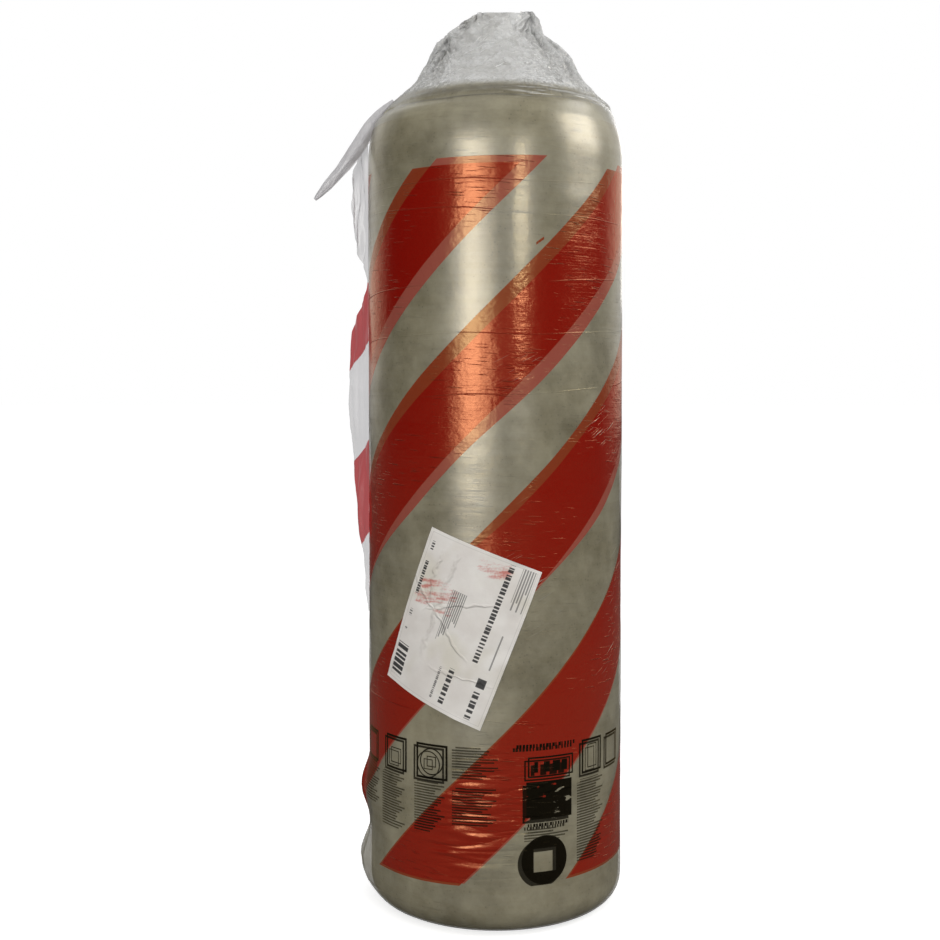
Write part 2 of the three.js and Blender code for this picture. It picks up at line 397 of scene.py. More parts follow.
# %% Felt lathe form
FELT_COLS = 240
FELT_ROUND = 0.030  # the corner at the floor
CONE_R = 0.100  # the proud top is flat as far out as this
BORE_R = 0.014
TURN = 0.0234  # thickness of one turn


def felt_lathe():
    """The felt's body, with smooth ends."""
    corner = FELT_R - FELT_ROUND
    arc = np.linspace(-math.pi / 2, 0, 10)[1:]
    lean = np.linspace(0, 1, 30)
    low_end = np.linspace(BORE_R, corner, 60)
    top_end = np.linspace(CONE_R, BORE_R, 46)[1:]
    side = np.linspace(FELT_BASE + FELT_ROUND, SIDE_TOP, 90)[1:-1]
    bore = np.linspace(FELT_TOP, FELT_BASE, 30)[1:]
    rows = [  # radius and height along the outline, from the bore's foot round to it again
        (low_end, 0 * low_end + FELT_BASE),
        (corner + FELT_ROUND * np.cos(arc), FELT_BASE + FELT_ROUND * (1 + np.sin(arc))),
        (0 * side + FELT_R, side),
        (
            smooth_steps(FELT_R, FELT_R, CONE_R, lean),
            smooth_steps(SIDE_TOP, SHOULDER_KNEE, FELT_TOP, lean),
        ),
        (top_end, 0 * top_end + FELT_TOP),
        (0 * bore + BORE_R, bore),
    ]
    radius, height = (np.concatenate(part)[:, None] for part in zip(*rows))
    turn = full_turn(FELT_COLS)
    lumps = waves(turn / (2 * math.pi) * 9, height * 9, 5, 9) * 0.0006 - 0.0008
    r = radius + lumps * smooth(radius, corner, FELT_R)
    points = np.stack([r * np.cos(turn), r * np.sin(turn), height + 0 * r], 2)
    points[-1] = points[0]
    uv = np.zeros((len(points), FELT_COLS + 1, 2))
    mesh = grid_mesh("felt_lathe", points, uv, closed=True)
    weld(mesh)
    return mesh


# %% Winding tree
WINDING = {  # the tree's numbers, in the order of its inputs
    "Bore radius": BORE_R,
    "Turn thickness": TURN,
    "Seam depth": 0.0075,
    "Seam width": 0.22,
    "Reach": 0.134,
    "Seed": 3.0,
}


def winding_tree():
    """Sinks the spiral seam into both ends of a lathe form, and roughens the turns between."""
    tree = bpy.data.node_groups.new("felt_winding", "GeometryNodeTree")
    for way in ("INPUT", "OUTPUT"):
        tree.interface.new_socket("Geometry", in_out=way, socket_type="NodeSocketGeometry")
    for label, value in WINDING.items():
        socket = tree.interface.new_socket(label, in_out="INPUT", socket_type="NodeSocketFloat")
        socket.default_value = value
    tree.interface.new_socket("Material", in_out="INPUT", socket_type="NodeSocketMaterial")
    given = add_node(tree, "NodeGroupInput")
    bore, turn, depth, width, reach, seed = [Wire(tree, given.outputs[key]) for key in WINDING]

    place = add_node(tree, "GeometryNodeInputPosition").outputs[0]
    facing = add_node(tree, "GeometryNodeInputNormal").outputs[0]
    at = add_node(tree, "ShaderNodeSeparateXYZ", {"Vector": place})
    x, y = Wire(tree, at.outputs[0]), Wire(tree, at.outputs[1])
    up = Wire(tree, add_node(tree, "ShaderNodeSeparateXYZ", {"Vector": facing}).outputs[2])
    radius = (x * x + y * y).math("SQRT")
    round_share = y.math("ARCTAN2", x) / (2 * math.pi)
    turns = (radius - bore) / turn - round_share * up.math("SIGN")
    off_seam = abs(turns - turns.math("ROUND")) * 2 / width
    seam = (off_seam * off_seam * -1).math("EXPONENT")

    def tufts(scale, detail):
        inputs = {"W": seed, "Scale": scale, "Detail": detail}
        node = add_node(tree, "ShaderNodeTexNoise", inputs, noise_dimensions="4D")
        return Wire(tree, node.outputs[0]) - 0.5

    tuft = tufts(230.0, 3.0) * 0.004 + tufts(60.0, 1.0) * 0.006
    on_end = abs(up).ramp(0.15, 0.55) * radius.ramp(reach + 0.004, reach - 0.004)
    on_end = on_end * radius.ramp(bore, bore + 0.003)
    sink = ((tuft - 0.0014) * (1 - seam) - seam * depth) * on_end * up.math("SIGN")
    shift = add_node(tree, "ShaderNodeCombineXYZ", {"Z": sink}).outputs[0]
    inputs = {"Geometry": given.outputs["Geometry"], "Offset": shift}
    moved = add_node(tree, "GeometryNodeSetPosition", inputs)
    real = add_node(tree, "GeometryNodeRealizeInstances", {0: moved.outputs[0]})
    inputs = {"Geometry": real.outputs[0], "Material": given.outputs["Material"]}
    painted = add_node(tree, "GeometryNodeSetMaterial", inputs)
    add_node(tree, "NodeGroupOutput", {0: painted.outputs[0]})
    return tree


def grown(mesh, tree, material):
    """The mesh that a tree makes of another, painted with this material."""
    holder = bpy.data.objects.new("holder", mesh)
    bpy.context.scene.collection.objects.link(holder)
    modifier = holder.modifiers.new("nodes", "NODES")
    modifier.node_group = tree
    modifier[tree.interface.items_tree["Material"].identifier] = material
    bpy.context.view_layer.update()
    evaluated = holder.evaluated_get(bpy.context.evaluated_depsgraph_get())
    made = bpy.data.meshes.new_from_object(evaluated)
    holder.modifiers.clear()
    bpy.data.objects.remove(holder)
    return made


# %% Felt roll
felt_mesh = grown(felt_lathe(), winding_tree(), FELT)
felt_mesh.polygons.foreach_set("use_smooth", [True] * len(felt_mesh.polygons))
felt = add_piece("felt_roll", felt_mesh)
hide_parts("wool_roll")

# %% [markdown]
# ## Film print
#
# The film is one long printed sheet, wound round about twice. Four stripes at 45 degrees fit the
# roll's girth with 24 mm to spare, so each layer's stripes lie beside those of the layer below.
# Where both layers are red the stripe is deep and opaque, and where only one is, the felt shows
# through. Print coordinates are metres: u goes round from the middle of the front, v goes up.

# %% Print layout
STRIPE_PITCH = 0.2635  # from one stripe to the next, measured upwards
STRIPE_WIDTH = 0.133
STRIPE_TOP = 1.030  # upper edge of the first stripe where u is 0
STRIPE_EDGE = 0.0012  # how soft the ink's edge is
PRINT_LOW = 0.063
PRINT_HIGH = 0.9240
PRINT_SLOPE = 0.02  # the sheet was wound on a little askew
LAYER_STEP = 0.003, 0.014, 0.008  # how far the outer layer's stripes lie below the inner ones


def box(u, v, left, right, low, high, soft=0.0006):
    """A mask for a box."""
    return u.between(left, right, soft) * v.between(low, high, soft)


def stripe_masks(film, u, v):
    """The inner and the outer layer's stripes."""
    sway = (film.noise((5, 5, 1), uv=True, detail=1) - 0.5) * 0.006
    rise = v - u + sway + (v * 7.0 + 0.4).math("SINE") * 0.0025
    level = v - u * PRINT_SLOPE

    def stripes(top, low, high):
        across = (top - rise).wrap(STRIPE_PITCH)
        return across.between(0, STRIPE_WIDTH, STRIPE_EDGE) * level.between(low, high, 0.0008)

    inner = stripes(STRIPE_TOP, PRINT_LOW, PRINT_HIGH)
    least, middle, upper = LAYER_STEP
    step = least + middle * v.ramp(0.42, 0.52) + upper * v.ramp(0.58, 0.68)
    outer = stripes(STRIPE_TOP - step, PRINT_LOW + 0.003, PRINT_HIGH + 0.0085)
    # two short dashes beside the second stripe
    slant = v - u * 0.7
    first = box(u, slant, 0.049, 0.059, 0.7935, 0.7970)
    return inner.most(first, box(u, slant, 0.080, 0.090, 0.7740, 0.7765)), outer


# %% [markdown]
# ## Small print
#
# A band near the floor carries handling marks and blocks of small type. They are drawn here as
# plain shapes: framed boxes, bars that stand for lines of type, a dark square and a disc. A box is
# the product of two "between" tests, and a frame is a box less a smaller box.

# %% Small print marks
# Each row: left, right, low, high, then the frame's line width or the step between bold letters.
FRAMES = [
    (-0.158, -0.118, 0.189, 0.231, 0.0028),
    (-0.148, -0.128, 0.197, 0.216, 0.0012),
    (-0.102, -0.058, 0.187, 0.230, 0.0028),
    (-0.0865, -0.0735, 0.202, 0.215, 0.0012),
    (0.115, 0.152, 0.189, 0.231, 0.0028),
    (0.125, 0.142, 0.195, 0.224, 0.0012),
    (0.163, 0.198, 0.190, 0.230, 0.0028),
    (0.040, 0.101, 0.193, 0.218, 0.0020),
    (-0.222, -0.182, 0.189, 0.228, 0.0028),
]
SMALL_TYPE = [
    (-0.165, -0.122, 0.118, 0.186),
    (-0.101, -0.062, 0.125, 0.184),
    (-0.048, 0.004, 0.195, 0.231),
    (-0.048, 0.002, 0.138, 0.182),
    (0.112, 0.156, 0.085, 0.183),
    (-0.220, -0.178, 0.138, 0.185),
    (0.040, 0.094, 0.120, 0.131),
]
BOLD_TYPE = [
    (0.026, 0.104, 0.229, 0.2335, 0.0042),
    (0.047, 0.095, 0.199, 0.212, 0.0120),
    (0.040, 0.094, 0.1335, 0.1375, 0.0036),
]
SQUARE = 0.038, 0.099, 0.142, 0.188
RING = -0.080, 0.2085
RING_R = 0.0165
DISC = 0.062, 0.0925
DISC_R = 0.0302
DISC_HOLE = 0.0475, 0.0765, 0.0785, 0.1065


def frame_mark(u, v, left, right, low, high, line):
    """The outline of a box."""
    inside = box(u, v, left + line, right - line, low + line, high - line)
    return box(u, v, left, right, low, high) * (1.0 - inside)


def away_from(u, v, x, y):
    """Distance from a point."""
    return ((u - x) * (u - x) + (v - y) * (v - y)).math("SQRT")


def chance(film, number):
    """A number from 0 to 1 that is different for each whole number."""
    node = film.node("ShaderNodeTexWhiteNoise", {"W": number}, noise_dimensions="1D")
    return film.wire(node.outputs[0])


def type_lines(film, u, v, left, right, low, high, pitch=0.0033):
    """A block of small type: a bar for each line, ragged at its right end."""
    row = (v / pitch).math("FLOOR")
    end = left + (right - left) * (0.55 + 0.6 * chance(film, row))
    line = (v / pitch).wrap(1.0).between(0.2, 0.75, 0.2)
    return box(u, v, left, right, low, high) * line * ((end - u) / 0.0006).clamp()


def bold_type(film, u, v, left, right, low, high, step):
    """A line of bold type: blocks of uneven width."""
    width = 0.45 + 0.5 * chance(film, (u / step).math("FLOOR"))
    block = ((width - (u / step).wrap(1.0)) / 0.1).clamp()
    return box(u, v, left, right, low, high) * block


def small_print(film, u, v):
    """Dark marks of the band near the floor, from 0 to 1."""
    marks = away_from(u, v, *RING).between(RING_R - 0.0016, RING_R)
    marks = marks.most(*[frame_mark(u, v, *row) for row in FRAMES])
    marks = marks.most(*[type_lines(film, u, v, *row) * 0.8 for row in SMALL_TYPE])
    marks = marks.most(*[bold_type(film, u, v, *row) for row in BOLD_TYPE])
    scuff = film.noise((70, 150, 1), uv=True, detail=3).ramp(0.33, 0.39)
    disc = away_from(u, v, *DISC).ramp(DISC_R, DISC_R - 0.0006)
    return marks.most(box(u, v, *SQUARE) * scuff, disc * (1.0 - box(u, v, *DISC_HOLE)))


# %% [markdown]
# ## Film finish
#
# One shader does for the clear film and for the print: how solid it is (Alpha) says how much felt
# shows through. Stretched film has countless fine creases running round the roll. They are smaller
# than the mesh, so they are a bump from noise that is drawn out sideways, in three sizes. Where
# the film hangs free, tilted facets in three sizes take over, and the crown's main folds are drawn
# one by one. The crown's colour carries painted light and shade of its facets and folds, and a
# painted dark line at its foot; the side has painted glints on short strokes and painted shade in
# the ink's sharp creases. The sleeve wears three finishes that agree where they meet, so that each
# part only works out what it shows. A smooth coat gives the broad highlights of the clear film,
# and the creased layer below it gives the broken orange ones on the ink.

# %% Stretched film
LONG_CREASES = [  # height at the front, and how much it rises round the roll
    (0.905, 0.02),
    (0.869, -0.03),
    (0.785, 0.05),
    (0.724, 0.03),
    (0.652, 0.06),
    (0.262, -0.05),
]


def strokes(film, u, v, length, gap, seed):
    """Short creases, nearly level: how near each point is to one."""
    place = {0: u / length + seed, 1: (v + u * 0.06) / gap}
    at = film.node("ShaderNodeCombineXYZ", place).outputs[0]
    dots = film.node("ShaderNodeTexNoise", {"Vector": at, "Scale": 1.0, "Detail": 0.0})
    return film.wire(dots.outputs[0]).ramp(0.70, 0.80)


def stretched(film, u, v):
    """Height of the creases round stretched film, the sharp ones, and where they are many."""
    fine = film.noise((16, 620, 1), uv=True, roughness=0.6)
    drawn = film.noise((9, 210, 1), uv=True, detail=3, roughness=0.6, distortion=0.4)
    where = film.noise((6, 7, 1), uv=True)
    cling = film.noise((75, 75, 1), uv=True, roughness=0.6)
    sharp = strokes(film, u, v, 0.030, 0.0016, 3.0) * where.ramp(0.42, 0.56)
    bend = v + (u * 17.0).math("SINE") * 0.0025 + (u * 43.0).math("SINE") * 0.0008
    many = where.ramp(0.40, 0.50) * 0.6
    for level, slope in LONG_CREASES:
        sharp = sharp.most(abs(bend - u * slope - level).ramp(0.0009, 0.0) * many)
    height = fine * 0.06 + drawn * (0.08 + 0.26 * where.ramp(0.45, 0.65))
    return height + cling * 0.45 + sharp * 0.50, sharp, where


# %% Crown folds
# Each fold on the crown's front: x and z of its ends in mm, half width, and light or dark: a
# painted highlight along the fold where positive, painted shade where negative.
CROWN_FOLDS = [
    (-16, 1085, 2, 1087, 1.0, 1.0),
    (-39, 1071, -16, 1084, 0.9, 0.8),
    (-25, 1089, -18, 1099, 0.9, 0.8),
    (-20, 1086, -10, 1098, 0.8, 0.7),
    (-2, 1046, 13, 1055, 0.9, 0.9),
    (19, 1070, 29, 1073, 0.8, 0.7),
    (54, 1087, 67, 1069, 2.2, 0.9),
    (24, 1035, 54, 1043, 1.2, 1.0),
    (32, 1033, 70, 1036, 1.6, 1.0),
    (-85, 1049, -80, 1036, 2.0, 0.8),
    (-73, 1046, -68, 1033, 2.2, 0.8),
    (-62, 1059, -40, 1069, 0.9, -0.8),
    (-55, 1057, -30, 1045, 0.8, -0.6),
    (68, 1067, 78, 1042, 1.6, -0.8),
    (-76, 1037, -73, 1065, 0.9, -0.8),
    (-73, 1065, -57, 1097, 0.9, -0.8),
    (-57, 1097, -36, 1112, 0.9, -0.7),
]


def crown_folds(film, front):
    """Masks of painted highlight where the crown's folds catch the light, and of painted shade
    where they are dark.
    """
    at = film.place((1000, 1000, 1000))
    sway = (film.noise((90, 90, 90)) - 0.5) * 4.0
    sides = [front * 0.0, front * 0.0]
    for x0, z0, x1, z1, half, tone in CROWN_FOLDS:
        reach = math.hypot(x1 - x0, z1 - z0)
        ahead = ((x1 - x0) / reach, 0.0, (z1 - z0) / reach)
        sideways = (-ahead[2], 0.0, ahead[0])
        from_start = film.vector("SUBTRACT", at, (x0, 0.0, z0))
        beyond = abs(film.vector("DOT_PRODUCT", from_start, ahead) - reach / 2) - reach / 2
        across = film.vector("DOT_PRODUCT", from_start, sideways) + sway
        near = (abs(across) + beyond.most(-6.0) * 0.06).ramp(half * 0.5, 0.0) * abs(tone)
        sides[tone < 0] = sides[tone < 0].most(near)
    return [side * front for side in sides]


# %% Film finish
FILM_LOOK = {
    "IOR": 2.30,
    "Specular_Tint": (1.0, 0.78, 0.38, 1.0),
    "Coat_IOR": 3.0,
    "Coat_Roughness": 0.34,
}
CREASE_DEPTH = 0.0011  # how far a height of 1 stands out on every film and on the label
SEEN_DARK, SEEN_PALE = srgb(138, 129, 98), srgb(200, 192, 163)  # the felt through the film


def slack_film(film, v, height, where, clear, cloud, coat):
    """The shoulder and the crown: clear film that whitens where it leaves the felt, with painted
    light and shade on its crumples and folds.
    """
    level = v + (where - 0.5) * 0.016
    free = level.ramp(1.020, 1.032)
    # Painted shade: a dark line in the fold at the crown's foot, and a fainter one just below it;
    # both also make the film a little more solid.
    tuck_shade = level.between(1.014, 1.022, 0.006) * 0.5
    tuck_shade = tuck_shade.most(level.between(1.0070, 1.0086, 0.0014) * where.ramp(0.38, 0.46) * 0.8)
    x, y, z = film.at()
    front = y.ramp(0.0, -0.02)
    top = z.ramp(1.080, 1.115)
    # wild is where the film is bunched: the crown's two ends and its back
    left, right = x.ramp(-0.034, -0.060) * 0.95, x.ramp(0.016, 0.046) * 0.85
    wild = right.most(left, 0.45 - front)

    # Each facet's tone below is painted light and shade of the crumple, as well as its tilt in the
    # bump.
    large, pane_shade = film.chips((70, 70, 55))
    middle, tone = film.chips((190, 190, 120))
    small, speck_shade = film.chips((420, 420, 260))
    # The folds, the rising and falling strokes and the light and dark specks of the bunched ends
    # are painted highlight and painted shade, and they are also raised and sunk in the bump.
    light, shade_marks = crown_folds(film, front)
    rising = strokes(film, x * 0.8 + z * 0.6, z * 0.8 - x * 0.6, 0.013, 0.0016, 7.0)
    falling = strokes(film, x * 0.95 - z * 0.3, z * 0.95 + x * 0.3, 0.016, 0.0018, 11.0)
    light = light.most(rising * 0.35, speck_shade.ramp(0.66, 0.82) * wild)
    shade_marks = shade_marks.most(falling * 0.35, speck_shade.ramp(0.26, 0.14) * wild * 0.7)
    crumple = large * 6.0 + middle * (3.4 + 3.6 * wild) + small * (1.5 + 1.5 * wild)
    slack = level.ramp(0.994, 1.026)
    height = height * (1.0 - slack) + (crumple + (light - shade_marks) * 0.8) * slack

    # Whitish streaks on the shoulder, most on the right: film gathered in layers, and painted
    # highlight where the right-hand light catches it.
    veil_and_highlight = film.noise((20, 300, 1), uv=True, detail=3, roughness=0.55, distortion=0.3)
    veil_and_highlight = veil_and_highlight.ramp(0.50, 0.64) * level.ramp(1.002, 1.010) * (1.0 - free)
    veil_and_highlight = veil_and_highlight * (0.12 + 0.88 * x.ramp(0.0, 0.05))
    # Painted light and shade of the crumpled crown: each facet's tone, the folds' highlights and
    # shade, painted light that makes the bunched ends paler, a little darker towards the top, and
    # random cloud.
    shade = 0.72 - top * 0.10 + (tone - 0.5) * (0.20 + 0.20 * wild)
    shade = shade + (pane_shade - 0.5) * 0.36 + (cloud - 0.5) * 0.5 + wild * (0.40 + 0.30 * top)
    shade = shade + light * 0.55 - shade_marks * (0.6 - 0.35 * wild)
    grey = film.mix(shade.clamp(), srgb(140, 138, 132), srgb(252, 253, 254))
    colour = film.mix(veil_and_highlight, film.mix(free, clear, grey), srgb(240, 240, 236))
    solid = 0.18 + 0.12 * top - (0.22 + 0.10 * top) * wild + light * 0.25 + shade_marks * 0.12
    solid = 0.60 + solid * free + (tuck_shade + veil_and_highlight) * 0.3
    film.set(IOR=1.5, Sheen_Weight=0.5, Metallic=free * 0.08, Alpha=solid.clamp())
    # The painted shade of the fold at the crown's foot is laid on here.
    film.set(Base_Color=film.mix(tuck_shade, colour, srgb(70, 66, 55)))
    film.set(Coat_Weight=(1.0 - free) * coat)
    return height


def printed_film(film, u, v, height, sharp, where, clear, coat, with_marks):
    """The side: clear film with its stripes and, on the band near the floor, the small print."""
    # Painted glints: short light strokes slanting up to the right, which also stand out a little
    # in the bump.
    glint_strokes = strokes(film, u * 0.85 + v * 0.50, v * 0.85 - u * 0.50, 0.034, 0.0016, 21.0)
    glint_strokes = glint_strokes * where.ramp(0.50, 0.58) * u.ramp(-0.02, 0.06)
    glint_strokes = glint_strokes * v.between(0.30, 0.72, 0.05)
    height = height + glint_strokes * 0.4
    inner, outer = stripe_masks(film, u, v)
    both, one = inner * outer, inner.most(outer)
    ink = film.mix(inner, srgb(182, 90, 78), srgb(160, 60, 30))
    ink = film.mix(both, ink, srgb(167, 6, 2))
    # Painted shade: the ink is darker along the sharp creases.
    ink = film.mix(sharp * 0.4, ink, srgb(60, 4, 2))
    colour = film.mix(glint_strokes * 0.55, film.mix(one, clear, ink), srgb(232, 226, 210))
    solid = 0.64 + one * 0.24 + both * 0.12
    metal = both * 0.24 + (one - both) * 0.08
    if with_marks:
        black = small_print(film, u, v)
        black = black.most(small_print(film, u + 0.0045, v + 0.0036) * 0.92)
        one = one.most(black)
        colour = film.mix(black, colour, srgb(16, 15, 14))
        solid = solid.most(black * 0.98)
        metal = metal * (1.0 - black) + black * 0.8
        pulled = film.noise((9, 68, 1), uv=True, detail=1, distortion=0.4)
        taut = v.between(0.075, 0.215, 0.05) * (0.30 + 0.70 * u.between(-0.075, 0.045, 0.05))
        height = height + abs(pulled - 0.5) * taut * 6.0
    film.set(Base_Color=colour, Alpha=solid.clamp(), Metallic=metal)
    film.set(Coat_Weight=(1.0 - one) * coat)
    return height


def film_finish(name, part):
    """The printed film: its "side", the "band" of small print, or the "slack" crown."""
    film = Finish(name, **FILM_LOOK)
    u, v, _ = film.at(uv=True)
    height, sharp, where = stretched(film, u, v)
    cloud = film.noise((16, 16, 16), detail=5, roughness=0.68)
    clear = film.mix((cloud * 2.8 - 0.9).clamp(), SEEN_DARK, SEEN_PALE)
    beads = film.spots(BEAD_CELLS).ramp(0.24, 0.10) * cloud.ramp(0.56, 0.44)
    clear = film.mix(beads * 0.45, clear, srgb(62, 56, 44))
    streaks = film.noise((5, 150, 1), uv=True, detail=3, roughness=0.6)
    coat = (0.65 + streaks * 0.6).clamp()
    if part == "slack":
        height = slack_film(film, v, height, where, clear, cloud, coat)
    else:
        marks = part == "band"
        height = printed_film(film, u, v, height, sharp, where, clear, coat, marks)
    film.set(Normal=film.bump(height, CREASE_DEPTH), Roughness=0.23)
    return film.material


# %% Loose film finish
def loose_finish(name, crumple):
    """A single layer of the printed film, free of the roll and a little crumpled."""
    film = Finish(name, IOR=2.0)
    u, v, _ = film.at(uv=True)
    red = stripe_masks(film, u, v)[1]
    ridge = film.noise((26, 26, 26), detail=3, roughness=0.55, distortion=0.4)
    drawn = film.noise((60, 12, 1), uv=True)
    colour = film.mix((ridge - 0.5) * 1.6 + 0.5, srgb(196, 193, 197), srgb(222, 220, 224))
    film.set(Base_Color=film.mix(red, colour, srgb(214, 34, 42)), Alpha=0.62 + red * 0.32)
    height = abs(ridge - 0.5) * crumple * 3.0 + drawn * 0.4
    film.set(Normal=film.bump(height, CREASE_DEPTH))
    film.set(Roughness=0.34 + (drawn - 0.5) * 0.2)
    return film.material


FILM_SIDE = film_finish("film_side", "side")
FILM_BAND = film_finish("film_band", "band")
FILM_SLACK = film_finish("film_slack", "slack")
LOOSE_FILM = loose_finish("film_loose", 0.5)
TAIL_FILM = loose_finish("film_tail", 0.25)

# %% [markdown]
# ## The film sleeve and its crown
#
# Sleeve, shoulder and crown are one sheet, so they are one grid: columns go round, rows go up from
# the middle of the floor to the crown's rim. On the side the sheet is simply a little slack. The
# crown is harder: the sheet is far longer round than the bunch it is drawn into, so it has to
# fold, and only a calculation that keeps its true size folds as film does. It starts as pleats,
# packed close at the two ends of a flattened ring, and is then settled: every edge is pulled
# towards its flat length over and over, sharp bends are eased, and no point may leave the crown's
# outline or sink into the felt.

# %% Crown outline
COLS = 384
SHOULDER_ROWS, CROWN_ROWS = 26, 44
FOOT_R = 0.112  # the crown's foot
FOOT_Z = MAT_TOP + 0.042
OUTLINE_Z = [FOOT_Z, 1.052, 1.065, 1.078, 1.091, 1.104, 1.1105, 1.118, 1.1245, 1.131, RIM_Z]
OUTLINE_R = [FOOT_R, 0.108, 0.103, 0.097, 0.087, 0.078, 0.073, 0.062, 0.0550, 0.0480, 0.039]
LEAN_Z = [0.995, 1.010, 1.039, 1.052, 1.065, 1.078, 1.091, 1.1105, 1.118, 1.1245, 1.131]
LEAN_X = [0.000, 0.004, 0.005, 0.0075, 0.005, 0.004, 0.001, -0.002, 0.002, 0.0045, 0.008]
FLATTENED = 0.66  # at the rim the ring is this much less deep than it is wide
PLEAT = 0.075  # film taken up by one pleat
# how much higher the rim stands at the back, by x
RIM_X = [-0.040, -0.019, 0.009, 0.022, 0.048]
RIM_LIFT = [0.003, 0.0075, 0.0085, 0.0055, 0.005]
# how much lower it is towards the left, by -x
DROP_X = [0.030, 0.058]
RIM_DROP = [0, 0.015]


def crown_profile():
    """Rows from the side to the rim: half width, half depth, height, climb up the crown from 0
    to 1, and climb up the shoulder from 0 to 1."""
    share = np.linspace(0, 1, SHOULDER_ROWS + 1)
    climb = np.linspace(0, 1, CROWN_ROWS + 1)[1:]
    top = FOOT_Z + (RIM_Z - FOOT_Z) * climb
    outline = np.interp(top, OUTLINE_Z, OUTLINE_R)
    wide = np.concatenate([smooth_steps(ROLL_R, ROLL_R, FOOT_R, share), outline])
    z = np.concatenate([smooth_steps(SIDE_TOP, SHOULDER_KNEE, FOOT_Z, share), top])
    climb = np.concatenate([0 * share, climb])
    deep = wide * (1 - FLATTENED * climb**1.3)
    return wide, deep, z, climb, np.concatenate([share, 1 + 0 * top])


# %% Crown pleats
def flat_ring(wide, deep, share):
    """Points of a flattened ring by the share of its length from the front, and that length."""
    a = FRONT + np.linspace(-math.pi, math.pi, 1441)
    p = np.stack([wide * np.cos(a), deep * np.sin(a)], 1)
    run = np.concatenate([[0], np.cumsum(np.hypot(*np.diff(p, axis=0).T))])
    at = (share + 0.5) * run[-1]
    return np.stack([np.interp(at, run, p[:, 0]), np.interp(at, run, p[:, 1])], 1), run[-1]


def outward(ring, order):
    """Directions out of a ring whose points go round in this order."""
    along = np.roll(ring[order], -1, 0) - np.roll(ring[order], 1, 0)
    out = np.zeros_like(ring)
    out[order] = np.stack([along[:, 1], -along[:, 0]], 1)
    return unit(out)


def pleat_depth(q, girth, height, crowd):
    """How far the pleats of one row stand in from its ring."""
    level = np.full(COLS, height)
    fold = q * girth / PLEAT + 0.7 * waves(q * 9 + 50, level * 7, 71)
    fold = fold + 0.2 * waves(q * 22 + 50, level * 18, 72)
    size = 0.75 + 0.25 * scatter(np.floor(fold).astype(int), np.full(COLS, 7), 5)
    return (1 - np.abs((fold % 1) * 2 - 1)) * PLEAT / 2 * np.sqrt(1 - crowd**2) * size


def rim_dip(points, wide, deep, climb):
    """How far the rows are lowered, most of all at the two ends of the mouth."""
    angle = np.arctan2(points[..., 1] / deep, points[..., 0] / wide)
    dip = np.where(points[..., 0] < 0, 0.012, 0.003) * np.abs(np.cos(angle)) ** 4
    dip -= 0.005 * np.maximum(np.sin(angle), 0)
    return (dip + 0.004 * np.maximum(waves(angle * 2.2, 0 * angle, 73), 0)) * climb


def pleated_crown():
    """The crown before it settles, and the film's true length round each row."""
    wide, deep, z, climb, share = crown_profile()
    angle = full_turn(COLS, SEAM_ANGLE)
    q = ((angle - FRONT) / (2 * math.pi) + 0.5) % 1 - 0.5  # share of the sheet from the front
    order = np.argsort(q)
    even = np.linspace(-0.5, 0.5, 2001)
    loops = np.array([flat_ring(w, d, q[:1])[1] for w, d in zip(wide, deep)])
    foot = loops[share >= 1][0]
    girths = np.where(climb > 0, foot * 1.05, loops * (1 + 0.05 * share**3))
    points = np.zeros((len(z), COLS, 3))
    for i, girth in enumerate(girths):
        full = girth / loops[i]  # how much longer the film is than the ring
        flat = 0.30 + 0.10 * climb[i]  # share of the ring that each of the two flat sides takes
        zone = (1 - 2 * flat / full) / 4
        packed = 1 - smooth(np.abs(np.abs(even) - 0.25), zone * 0.85, zone * 1.15)
        slope = full + ((0.25 - flat / 2) / zone - full) * packed
        run = np.concatenate([[0], np.cumsum((slope[1:] + slope[:-1]) / 2)])
        ring, _ = flat_ring(wide[i], deep[i], np.interp(q, even, run / run[-1] - 0.5))
        crowd = np.clip(np.interp(q, even, slope) / full, 0.02, 1)
        depth = pleat_depth(q, girth, z[i], crowd) * smooth(share[i], 0.45, 1.0)
        points[i, :, :2] = ring - outward(ring, order) * depth[:, None]
        points[i, :, 2] = z[i]

    dip = rim_dip(points, wide[:, None], deep[:, None], climb[:, None])
    level = points[..., 2]
    low_r, level_r = (np.interp(at, OUTLINE_Z, OUTLINE_R) for at in (level - dip, level))
    points[..., :2] *= np.where(climb[:, None] > 0, low_r / level_r, 1)[..., None]
    points[..., 2] -= dip

    # crumples stand out from a place low inside the crown
    away = points / np.array([0.11, 0.09, 1]) * np.array([1, 1, 0]) + np.array([0, 0, 0.35])
    turn = np.tile(angle / (2 * math.pi), (len(z), 1))
    run = np.tile((z - MAT_TOP + 0.026)[:, None] * 1.3, (1, COLS))
    lump = (creases(turn * 22 + 3, run * 28, 31, 22) - 0.3) * 0.012
    lump = lump + 0.003 * waves(turn * 12, run * 20, 32, 12)
    return points + unit(away) * (lump * smooth(run, 0.09, 0.13))[..., None], girths


# %% Settling
FIXED_ROWS = 3  # the lowest rows stay where they join the side
# For bends: how many edges a span takes in, its least share of its flat length, and the push.
BENDS_ROUND = (2, 0.93, 0.12), (4, 0.75, 0.10), (8, 0.42, 0.05)
BENDS_UP = (2, 0.95, 0.15), (4, 0.86, 0.10)


def pull(d, length, share, only_push=False):
    """The part of each step d that brings it towards its flat length."""
    n = np.sqrt((d * d).sum(-1))
    c = (n - length) / np.maximum(n, 1e-9)
    return d * (share * (np.minimum(c, 0) if only_push else c))[..., None]


